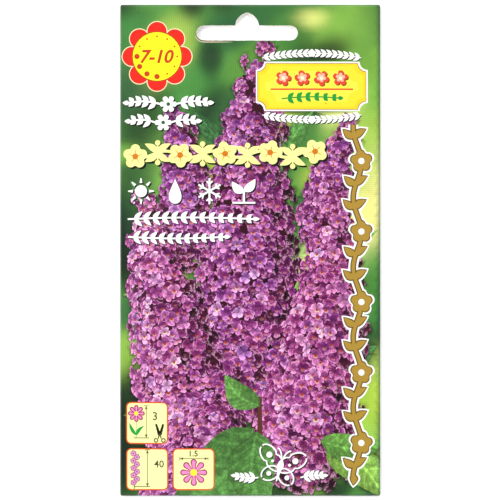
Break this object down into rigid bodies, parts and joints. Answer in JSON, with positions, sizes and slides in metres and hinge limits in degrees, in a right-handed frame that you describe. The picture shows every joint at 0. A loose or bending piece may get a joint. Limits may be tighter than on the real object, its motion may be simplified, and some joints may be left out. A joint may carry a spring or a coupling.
{
  "type": "seed packet",
  "caption": "Flat folded paper packet for garden seed, with a hang slot at the top, a lapped back seam and glued end flaps, printed with flowers.",
  "frame": {"origin": "on the surface under the packet, below the middle of its outline", "axes": "+Y along the packet's length towards the end with the hang slot, +Z out of the printed front, +X to the right as the front is read"},
  "size_m": [0.082, 0.155, 0.0035],
  "materials": {
    "printed_paper": "gloss",
    "back_paper": "satin",
    "flap_paper": "gloss",
    "sachet_paper": "matte"
  },
  "bodies": {
    "root": {"front_panel": "printed_paper", "left_fold": "printed_paper", "right_fold": "printed_paper", "top_fold": "printed_paper", "bottom_fold": "printed_paper", "back_left_panel": "back_paper", "back_right_panel": "back_paper", "top_flap": "flap_paper", "bottom_flap": "flap_paper", "seed_sachet": "sachet_paper"}
  },
  "joints": []
}
